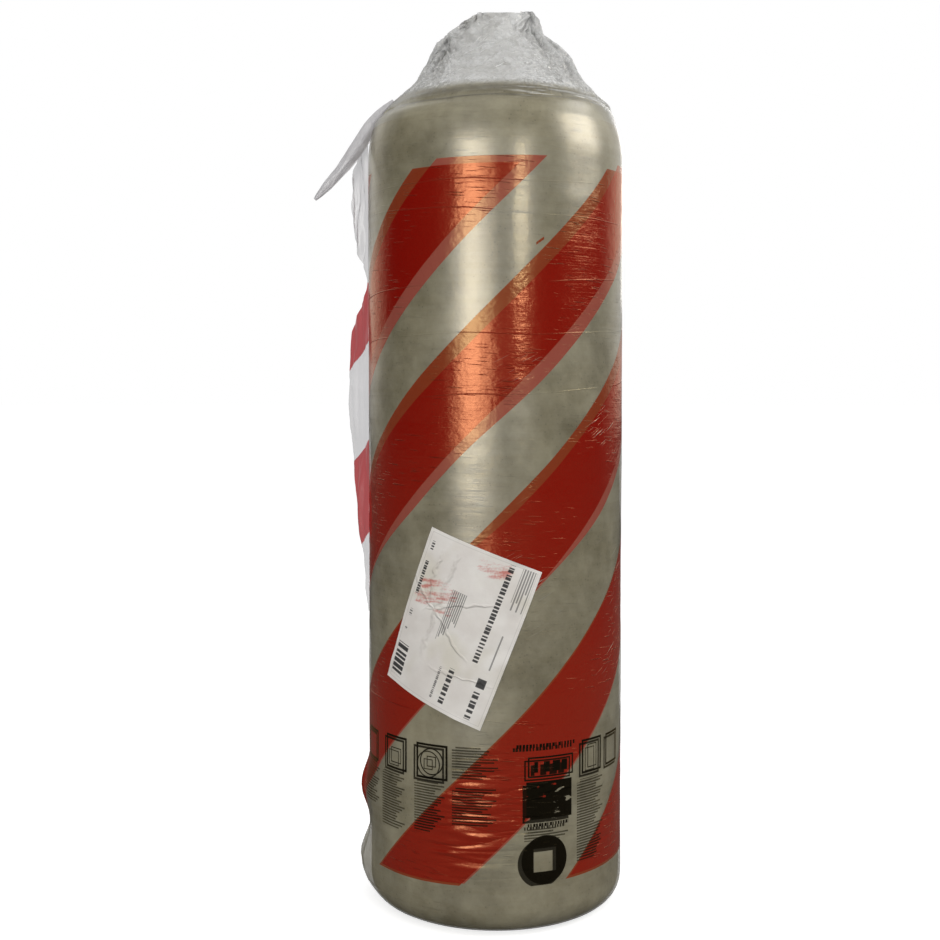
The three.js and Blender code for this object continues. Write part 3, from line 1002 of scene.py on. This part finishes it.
def settle(p, girths, steps):
    """Pulls a grid of film towards its flat size, inside the crown's outline."""
    wide, deep, z, _, _ = crown_profile()
    start = p[:FIXED_ROWS].copy()
    round_by = (girths / COLS)[:, None]
    up_by = np.hypot(np.diff(wide), np.diff(z))[:, None] * 1.005
    across_by = np.hypot((round_by[1:] + round_by[:-1]) / 2, up_by)

    for _ in range(steps):
        c = pull(np.roll(p, -1, 1) - p, round_by, 0.30)
        p += c - np.roll(c, 1, 1)
        c = pull(p[1:] - p[:-1], up_by, 0.30)
        p[:-1] += c
        p[1:] -= c
        for side in (-1, 1):
            c = pull(np.roll(p, side, 1)[1:] - p[:-1], across_by, 0.15)
            p[:-1] += c
            p[1:] -= np.roll(c, -side, 1)
        for span, least, share in BENDS_ROUND:
            c = pull(np.roll(p, -span, 1) - p, round_by * span * least, share, True)
            p += c - np.roll(c, span, 1)
        for span, least, share in BENDS_UP:
            length = sum(up_by[k : len(up_by) - span + 1 + k] for k in range(span))
            c = pull(p[span:] - p[:-span], length * least, share, True)
            p[:-span] += c
            p[span:] -= c
        limit_x = np.interp(p[..., 2], z, wide) + 0.004
        limit_y = np.interp(p[..., 2], z, deep) + 0.006
        over = np.maximum(np.hypot(p[..., 0] / limit_x, p[..., 1] / limit_y), 1)
        p[..., :2] /= over[..., None]
        inner = np.hypot(p[..., 0], p[..., 1]) < CONE_R
        p[..., 2] = np.maximum(p[..., 2], np.where(inner, FELT_TOP + 0.001, 0))
        x, behind = p[-1, :, 0], p[-1, :, 1] > 0
        drop, lift = np.interp(-x, DROP_X, RIM_DROP), np.interp(x, RIM_X, RIM_LIFT)
        p[-1, :, 2] = RIM_Z - drop + lift * behind
        p[:FIXED_ROWS] = start
    return p


crown, crown_girths = pleated_crown()
crown = settle(crown, crown_girths, 300)
print("crown from", crown.min((0, 1)).round(3), "to", crown.max((0, 1)).round(3))

# %% Sleeve mesh
FILM_ROUND = 0.0315  # corner at the floor
BAND_LOW, BAND_HIGH = 0.06, 0.245  # the band of small print
SLACK_FROM = 0.985  # from here up the film is painted as slack
OVERLAP = 5  # columns that the sheet carries on under its own outer end


def film_relief(u, v):
    """How far the film on the side stands out from its true cylinder."""
    share = u / GIRTH
    slack = waves(share * 7, v * 7, 11, 7) * 0.0006
    drawn = waves(share * 14 + v * 2, v * 75 + u * 3, 12, 14) * 0.00025
    return slack + drawn


def swelling(angle, v):
    """Baggy film low on the side where the sheet's loose edge is."""
    side = bump(angle, math.pi * 3, math.radians(36)) + bump(angle, math.pi, math.radians(36))
    low = 0.012 * bump(v, 0.050, 0.045) + 0.010 * bump(v, 0.144, 0.045)
    sag = 1 + 0.25 * waves(angle * 6, v * 9, 13) + 0.18 * waves(angle * 14 + v * 30, v * 24, 14)
    return side * low * sag


def sleeve_relief(angle, u, v):
    """How far the whole sleeve stands out: slack on the side, creases on shoulder and crown."""
    turn = angle / (2 * math.pi)
    on_side = smooth(v, 0.02, 0.05) * (1 - smooth(v, 0.94, 0.972))
    out = film_relief(u, v) * on_side + swelling(angle, v)
    out += smooth(v, 1.05, 1.09) * 0.0016 * (creases(turn * 34, v * 40, 35, 34) - 0.3)
    shoulder = smooth(v, 0.985, 1.03) * (1 - smooth(v, 1.030, 1.055))
    wander = 2 * waves(turn * 7, v * 8, 37, 7)
    out += shoulder * 0.0012 * waves(turn * 9, v * 130 + wander, 36, 9)
    fold_line = 1.013 + 0.008 * waves(turn * 8, 0 * v, 38, 8)
    return out - 0.0016 * bump(v, fold_line, 0.008)


def leaning(points):
    """The crown doesn't stand quite straight on the roll's axis."""
    points[..., 0] += np.interp(points[..., 2], LEAN_Z, LEAN_X)
    return points


def sleeve_mesh():
    """Floor, side, shoulder and crown as one sheet, and the sheet's length along its profile."""
    angle = full_turn(COLS, SEAM_ANGLE)
    corner = ROLL_R - FILM_ROUND
    floor = np.linspace(0, corner, 14)
    arc = np.linspace(-math.pi / 2, 0, 9)[1:]
    side = np.linspace(FILM_ROUND, SIDE_TOP, 120)[1:-1]
    radius = np.concatenate([floor, corner + FILM_ROUND * np.cos(arc), 0 * side + ROLL_R])
    height = np.concatenate([0 * floor, FILM_ROUND * (1 + np.sin(arc)), side])
    r, z = radius[:, None], height[:, None] + 0 * angle
    points = np.concatenate([np.stack([r * np.cos(angle), r * np.sin(angle), z], 2), crown], 0)
    points = leaning(points)

    # v is the run along the profile, made to agree with height on the side
    wide, _, crown_z, _, _ = crown_profile()
    steps = np.diff(np.concatenate([radius, wide])), np.diff(np.concatenate([height, crown_z]))
    run = np.concatenate([[0], np.cumsum(np.hypot(*steps))])
    run += FILM_ROUND - run[len(floor) + len(arc) - 1]
    v = np.tile(run[:, None], (1, COLS))
    a = np.tile(angle, (len(points), 1))
    u = (a - FRONT) * ROLL_R

    normal = grid_normals(points)
    points = points + normal * sleeve_relief(a, u, v)[..., None]
    points[..., 2] = np.maximum(points[..., 2], 0)
    under = points[:, :OVERLAP] - normal[:, :OVERLAP] * 0.0003
    points = np.concatenate([points, under], 1)
    points[0] = 0
    around = u[:, :1] + np.arange(COLS + OVERLAP) * (GIRTH / COLS)
    up = np.tile(run[:, None], (1, COLS + OVERLAP))
    mesh = grid_mesh("film_sleeve", points, np.stack([around, up], 2))

    middle = (run[1:] + run[:-1]) / 2
    on_band = (middle > BAND_LOW) & (middle < BAND_HIGH)
    finish = np.where(middle > SLACK_FROM, 2, np.where(on_band, 1, 0))
    mesh.polygons.foreach_set("material_index", np.repeat(finish, COLS + OVERLAP - 1))
    weld(mesh)
    return mesh, run[-1] - run[0]


# %% Film sleeve
sleeve_film, sleeve_length = sleeve_mesh()
sleeve = add_piece("film_sleeve", sleeve_film, FILM_SIDE, FILM_BAND, FILM_SLACK)
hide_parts("wrap_film")
print("sleeve, flat:", round(GIRTH, 3), "by", round(sleeve_length, 3))

# %% [markdown]
# ## The loose edge
#
# The last layer of film isn't taped down: its edge stands off the roll in two long bulges, and its
# top corner has been twisted into a strip. The flap is a grid between its root line on the roll
# and its free edge, with long folds that run up it. The twisted corner is a strip folded in three.

# %% Flap
FLAP_EDGE = np.array(  # height, and how far the free edge stands out from the roll
    [
        (0.370, 0.002),
        (0.400, 0.010),
        (0.480, 0.022),
        (0.560, 0.036),
        (0.620, 0.043),
        (0.690, 0.044),
        (0.735, 0.037),
        (0.770, 0.013),
        (0.792, 0.002),
        (0.815, 0.010),
        (0.845, 0.027),
        (0.890, 0.037),
        (0.935, 0.035),
        (0.965, 0.022),
        (0.985, 0.004),
    ]
)
FLAP_ANGLE = math.radians(36)
FLAP_WAIST = 0.795  # the height between the two bulges: the print above it is another stripe's


def flap_mesh():
    """The flap, its width, its height and its area."""
    z = np.linspace(FLAP_EDGE[0, 0], FLAP_EDGE[-1, 0], 300)
    wide = np.interp(z, FLAP_EDGE[:, 0], FLAP_EDGE[:, 1])
    wide = np.convolve(np.pad(wide, 4, "edge"), np.ones(9) / 9, "valid")
    wide = wide * (1 + 0.03 * waves(z * 22, z * 0, 41)) + 0.0004 * waves(z * 90, z * 0, 42)
    wide = np.maximum(wide, 0.0015)
    zz, tt = np.meshgrid(z, np.linspace(0, 1, 26), indexing="ij")
    ww = wide[:, None] * tt
    out = np.array([math.cos(SEAM_ANGLE), math.sin(SEAM_ANGLE), 0])
    back = np.array([math.sin(SEAM_ANGLE), -math.cos(SEAM_ANGLE), 0])
    along = math.cos(FLAP_ANGLE) * back + math.sin(FLAP_ANGLE) * out
    across = np.array([-along[1], along[0], 0])
    crumpled = 0.35 + 0.65 * smooth(zz, 0.78, 0.84)
    lift = 0.0035 * waves(zz * 12, ww * 60, 43)
    lift += 0.010 * crumpled * (creases(zz * 9, ww * 75, 44) - 0.3)
    lift += 0.0030 * crumpled * (creases(zz * 24 + ww * 30, ww * 130, 45) - 0.3)
    lift *= np.minimum(ww / 0.012, 1)
    points = out * (ROLL_R - 0.0002) + ww[..., None] * along + lift[..., None] * across
    points[..., 2] += zz
    print_u = (SEAM_ANGLE - FRONT) * ROLL_R - ww
    print_v = np.where(zz > FLAP_WAIST, zz + 0.30, zz - 0.082)
    mesh = grid_mesh("film_flap", points, np.stack([print_u, print_v], 2), flip=True)
    high = z[-1] - z[0]
    return mesh, float(wide.max()), float(high), float(wide.mean() * high)


# %% Twisted corner
TAIL_AT = [0, 0.22, 0.60, 1]  # shares of its length
TAIL_PATH = [
    [-0.129, -0.151, -0.189, -0.230],  # x, y and z there
    [-0.026, -0.029, -0.033, -0.027],
    [1.0235, 1.0010, 0.9430, 0.8990],
]
TAIL_HALF_AT = [0, 0.1, 0.3, 0.6, 0.85, 0.95, 1]
TAIL_HALF = [0.003, 0.006, 0.0095, 0.0088, 0.0064, 0.0045, 0.0025]  # half its width there
TAIL_FLAT = 2 * 0.0088 * 2.3  # its width unfolded: it crosses its own width 2.3 times
TAIL_LAYER = 0.0022  # from one fold to the next


def tail_mesh():
    """The twisted corner, its flat width and its length."""
    steps, cols = 120, 40
    s = np.linspace(0, 1, steps)
    path = np.stack([np.interp(s, TAIL_AT, axis) for axis in TAIL_PATH], 1)
    for _ in range(40):
        path[1:-1] = (path[:-2] + path[2:]) / 2
    ahead = unit(np.gradient(path, axis=0))
    side = unit(np.cross(np.array([0.0, 1.0, 0.0]), ahead))
    through = np.cross(ahead, side)
    half = np.interp(s, TAIL_HALF_AT, TAIL_HALF) * (1 + 0.08 * waves(s * 6, s * 0, 51))
    # across the strip: to one edge, back to the other, and half way over again
    t = np.linspace(0, 1, cols)
    reach = np.interp(t, [0, 0.40, 0.80, 1.0], [-1, 1, -0.85, 0.05])
    fold = np.interp(t, [0, 0.34, 0.46, 0.74, 0.86, 1.0], [0, 0, 1, 1, 2, 2])
    layer = fold * TAIL_LAYER
    across = half[:, None] * reach
    rise = layer - TAIL_LAYER + 0.0004 * waves(s[:, None] * 16, reach * 2.5 + layer * 300, 52)
    rise = rise + 0.0020 * (creases(s[:, None] * 4, reach * 1.1 + layer * 400, 53) - 0.3)
    rise = rise * (half / half.max())[:, None]
    rise = rise + 0.35 * half[:, None] * (np.abs(reach) ** 2 - 0.3)
    twist = np.radians(30) * s - 0.25
    c, d = np.cos(twist)[:, None], np.sin(twist)[:, None]
    points = path[:, None, :] + (across * c - rise * d)[..., None] * side[:, None, :]
    points = points + (across * d + rise * c)[..., None] * through[:, None, :]
    print_u = np.tile(3.0 + t * TAIL_FLAT, (steps, 1))
    print_v = np.tile(1.2 + s[:, None] * 0.12, (1, cols))
    length = float(np.linalg.norm(np.diff(path, axis=0), axis=1).sum())
    return grid_mesh("film_tail", points, np.stack([print_u, print_v], 2)), TAIL_FLAT, length


# %% Loose film
flap_film, flap_wide, flap_high, flap_area = flap_mesh()
flap = add_piece("film_flap", flap_film, LOOSE_FILM)
tail_film, tail_wide, tail_long = tail_mesh()
tail = add_piece("film_tail", tail_film, TAIL_FILM)
print("flap, flat:", round(flap_wide, 3), "by", round(flap_high, 3))
print("tail, flat:", round(tail_wide, 3), "by", round(tail_long, 3))

# %% [markdown]
# ## The label
#
# An A5 sheet of white coated paper, stuck on a little askew. Its grid is turned in its own plane,
# then bent round the roll, following the film's relief so that it never sinks in. Its print is
# plain bars where lines of type would be. The film's red ink has rubbed off on it, and it was
# creased when the roll was handled: the creases are a bump, with a little painted shade along
# them.

# %% Label print
LABEL_W, LABEL_H = 0.145, 0.203
LABEL_TILT = math.radians(21.6)
LABEL_U, LABEL_V = -0.0477, 0.372  # its middle on the roll
# Lines of type run down the sheet. Each row: from and to along the line, then across it, and the
# step between bold letters or between small lines.
LABEL_BOLD = [
    (0.076, 0.087, -0.0650, -0.0610, 0.0036),
    (0.018, 0.062, -0.0655, -0.0610, 0.0033),
    (-0.012, -0.003, -0.0650, -0.0610, 0.0034),
    (-0.031, -0.028, -0.0650, -0.0615, 0.0030),
    (-0.028, 0.097, 0.0330, 0.0398, 0.0046),
    (-0.092, -0.046, 0.0110, 0.0180, 0.0058),
    (-0.095, -0.060, 0.0482, 0.0560, 0.0062),
]
LABEL_GREY_LINE = (-0.091, -0.050, -0.0015, 0.0015, 0.0024)
LABEL_SMALL = [
    (-0.098, -0.046, 0.0495, 0.0665, 0.0034),
    (-0.043, 0.022, -0.0195, -0.0010, 0.0026),
    (-0.014, 0.041, 0.0545, 0.0572, 0.0034),
]
LABEL_SQUARE = 0.0475, 0.0585, -0.0545, -0.0430
LABEL_BARS = -0.0680, -0.0500, -0.093, -0.049
# Folds. Upright ones: shift, sway, width, from and to. Slanting ones: slope, shift, width, from,
# to and strength.
UPRIGHT_FOLDS = [(0.030, 1, 0.0040, -0.045, 0.080), (0.047, -1, 0.0030, 0.010, 0.075)]
SLANT_FOLDS = [
    (0.7, 0.012, 0.0034, -0.072, 0.020, 1.0),
    (-0.5, -0.030, 0.0026, -0.040, 0.030, 1.0),
    (-0.2, 0.058, 0.0026, -0.010, 0.060, 0.6),
]


def label_ink(paper, x, y):
    """Black print, from 0 to 1."""
    ink = bold_type(paper, y, x, *LABEL_GREY_LINE) * 0.85
    ink = ink.most(*[bold_type(paper, y, x, *row) for row in LABEL_BOLD])
    bars = chance(paper, (y * 560.0).math("FLOOR")).ramp(0.45, 0.5)
    ink = ink.most(box(x, y, *LABEL_SQUARE), box(x, y, *LABEL_BARS) * bars)
    down = 0.0 - y
    ink = ink.most(*[type_lines(paper, down, x, *row) * 0.7 for row in LABEL_SMALL])
    wide, high = LABEL_W / 2 - 0.0037, LABEL_H / 2 - 0.0037
    return ink.most(frame_mark(x, y, -wide, wide, -high, high, 0.0006) * 0.22)


def label_folds(paper, x, y):
    """Handling creases, from 0 to 1."""
    wander = (paper.noise((18, 26, 1), uv=True, detail=3, roughness=0.6) - 0.5) * 0.030
    folds = x * 0.0
    for shift, sway, width, start, end in UPRIGHT_FOLDS:
        near = abs(x + shift + wander * sway).ramp(width, 0.0)
        folds = folds.most(near * y.between(start, end, 0.02))
    for slope, shift, width, start, end, strength in SLANT_FOLDS:
        near = abs(y + x * slope + shift + wander).ramp(width, 0.0) * strength
        folds = folds.most(near * x.between(start, end, 0.02))
    return folds


def label_finish():
    """Coated paper with its print, rubbed-off ink, and creases with painted shade along them."""
    paper = Finish("label_paper")
    x, y, _ = paper.at(uv=True)
    cloud = paper.noise((24, 24, 1), uv=True, detail=4)
    base = paper.mix(cloud.ramp(0.3, 0.7), srgb(240, 234, 228), srgb(252, 248, 243))
    warm = paper.noise((16, 13, 1), uv=True).ramp(0.50, 0.68)
    base = paper.mix(warm * 0.5, base, srgb(222, 215, 194))
    rub = paper.noise((22, 22, 150), detail=3, roughness=0.7)
    grain = paper.noise((420, 420, 1), uv=True)
    left = box(x, y, -0.071, -0.002, 0.000, 0.052, 0.022)
    top = box(x, y, -0.010, 0.044, 0.068, 0.102, 0.020)
    rubbed = (left.most(top) * (rub + grain * 0.25 - 0.125)).ramp(0.40, 0.66)
    base = paper.mix(rubbed * 0.75, base, srgb(208, 72, 56))
    folds = label_folds(paper, x, y)
    # Painted shade: the paper is a little darker along its creases.
    base = paper.mix(folds * 0.10, base, srgb(160, 142, 130))
    paper.set(Base_Color=paper.mix(label_ink(paper, x, y) * 0.94, base, srgb(26, 26, 30)))
    paper.set(Roughness=0.42 + cloud * 0.15)
    dents = paper.noise((40, 30, 1), uv=True, detail=4)
    paper.set(Normal=paper.bump(dents * 1.2 + folds * 1.1, CREASE_DEPTH, 0.9))
    return paper.material


# %% Label sheet
def label_mesh():
    """The sheet, turned in its own plane and bent round the roll."""
    x = np.linspace(-LABEL_W / 2, LABEL_W / 2, 90)
    y = np.linspace(-LABEL_H / 2, LABEL_H / 2, 126)
    yy, xx = np.meshgrid(y, x, indexing="ij")
    u = LABEL_U + xx * math.cos(LABEL_TILT) + yy * math.sin(LABEL_TILT)
    v = LABEL_V - xx * math.sin(LABEL_TILT) + yy * math.cos(LABEL_TILT)
    angle = FRONT + u / ROLL_R
    lift = 0.0007 + np.abs(waves(xx * 40, yy * 40, 61)) * 0.0004
    from_edge = np.minimum(LABEL_W / 2 - np.abs(xx), LABEL_H / 2 - np.abs(yy))
    loose = smooth(waves(xx * 25, yy * 25, 62), 0.1, 0.6)
    lift += 0.0016 * (1 - smooth(from_edge, 0, 0.007)) * loose
    radius = ROLL_R + film_relief(u, v) + lift
    points = np.stack([radius * np.cos(angle), radius * np.sin(angle), v], 2)
    return grid_mesh("label", points, np.stack([xx, yy], 2))


label = add_piece("label", label_mesh(), label_finish())
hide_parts("paper_label")

# %% [markdown]
# ## Stage, light and camera
#
# A pale floor that runs to white, soft boxes at the left and right that draw the long highlights
# down the film, others for the right side, the back and the top, and an even world. In gloss the
# world is dark in front and bright at the back, as in a studio with white walls behind the object
# and a dark room behind the camera. The camera looks at the roll from a little above its middle.


# %% Floor
def floor_finish():
    """Near white to the camera, and darker grey as a surface that lights the roll."""
    material = bpy.data.materials.new("floor_white")
    material.use_nodes = True
    tree = material.node_tree
    tree.nodes.clear()
    pale, grey = [
        add_node(tree, "ShaderNodeBsdfDiffuse", {"Color": (level, level, level, 1)}).outputs[0]
        for level in (0.7, 0.16)
    ]
    glow = add_node(tree, "ShaderNodeEmission", {"Strength": 0.7}).outputs[0]
    both = add_node(tree, "ShaderNodeAddShader", {0: pale, 1: glow}).outputs[0]
    seen = add_node(tree, "ShaderNodeLightPath").outputs["Is Camera Ray"]
    choice = add_node(tree, "ShaderNodeMixShader", {0: seen, 1: grey, 2: both}).outputs[0]
    add_node(tree, "ShaderNodeOutputMaterial", {0: choice})
    return material


def stage():
    """A wide floor just below the roll."""
    mesh = bpy.data.meshes.new("floor")
    mesh.from_pydata([(-40, -40, 0), (40, -40, 0), (40, 40, 0), (-40, 40, 0)], [], [(0, 1, 2, 3)])
    mesh.materials.append(floor_finish())
    floor = bpy.data.objects.new("floor", mesh)
    floor.location.z = -0.0002
    bpy.context.scene.collection.objects.link(floor)


# %% Soft boxes
SOFT_BOXES = {  # azimuth from the camera's side, distance, height, width, length and power
    "softbox_left": (-20, 2.6, 1.00, 0.60, 1.15, 5.5),
    "softbox_left_soft": (-18, 2.7, 1.00, 1.50, 1.40, 15),
    "softbox_right": (22, 2.6, 1.22, 0.24, 0.50, 4.5),
    "softbox_side": (84, 2.2, 1.87, 1.5, 1.15, 21),
    "softbox_back": (165, 2.8, 1.6, 0.9, 1.4, 12),
}


def softbox(name, azimuth, distance, height, width, tall, power, aim=0.62):
    """A soft box that faces a point on the roll's axis at this height."""
    light = bpy.data.lights.new(name, "AREA")
    light.shape = "RECTANGLE"
    light.size = width
    light.size_y = tall
    light.energy = power
    light.color = (1.0, 0.99, 0.96)
    turn = math.radians(azimuth)
    obj = bpy.data.objects.new(name, light)
    obj.location = (distance * math.sin(turn), -distance * math.cos(turn), height)
    obj.rotation_euler = (Vector((0, 0, aim)) - obj.location).to_track_quat("-Z", "Y").to_euler()
    bpy.context.scene.collection.objects.link(obj)
    return obj


stage()
for name, numbers in SOFT_BOXES.items():
    softbox(name, *numbers)
softbox("softbox_top", 0, 1.0, 3.2, 3.0, 2.4, 16, aim=0.9).visible_glossy = False


# %% World
def studio_world():
    """White to the camera, even light on all sides, and a room with walls in the gloss."""
    world = bpy.data.worlds.new("studio")
    bpy.context.scene.world = world
    world.use_nodes = True
    sky = world.node_tree
    sky.nodes.clear()
    ahead = add_node(sky, "ShaderNodeTexCoord").outputs["Generated"]
    split = add_node(sky, "ShaderNodeSeparateXYZ", {"Vector": ahead})
    x, y, z = (Wire(sky, out) for out in split.outputs)
    back = y / (x * x + y * y).math("SQRT").most(0.001)
    walls = back.ramp(0.30, 0.85) * (1.0 - 0.55 * back.ramp(0.85, 1.0))
    mirror = 0.004 + 0.95 * (walls * z.ramp(-0.35, 0.0)).most(z.ramp(0.45, 0.75) * 0.12)
    path = add_node(sky, "ShaderNodeLightPath")
    through = Wire(sky, path.outputs["Is Transmission Ray"])
    seen = Wire(sky, path.outputs["Is Camera Ray"]).most(through)
    level = 0.45 + (mirror - 0.45) * Wire(sky, path.outputs["Is Glossy Ray"])
    level = level + (1.0 - level) * seen
    inputs = {"Color": (1, 1, 1, 1), "Strength": level}
    light = add_node(sky, "ShaderNodeBackground", inputs).outputs[0]
    add_node(sky, "ShaderNodeOutputWorld", {0: light})


studio_world()

# %% Camera
IMAGE_PX = 940
FOCAL_PX = 1377.7
AXIS_PX = 25  # the roll's axis is this far right of the frame's middle
SHIFT_PX = -38
SENSOR = 36  # mm
CAMERA_PLACE = 0, -1.79, 0.664
LOOK_DOWN = math.radians(2)
camera_data = bpy.data.cameras.new("camera")
camera_data.sensor_width = SENSOR
camera_data.lens = FOCAL_PX / IMAGE_PX * SENSOR
camera_data.shift_y = SHIFT_PX / IMAGE_PX
camera = bpy.data.objects.new("camera", camera_data)
camera.location = CAMERA_PLACE
camera.rotation_euler = (math.pi / 2 - LOOK_DOWN, 0, math.atan(AXIS_PX / FOCAL_PX))
bpy.context.scene.collection.objects.link(camera)
bpy.context.scene.camera = camera
bpy.context.scene.view_settings.view_transform = "Standard"
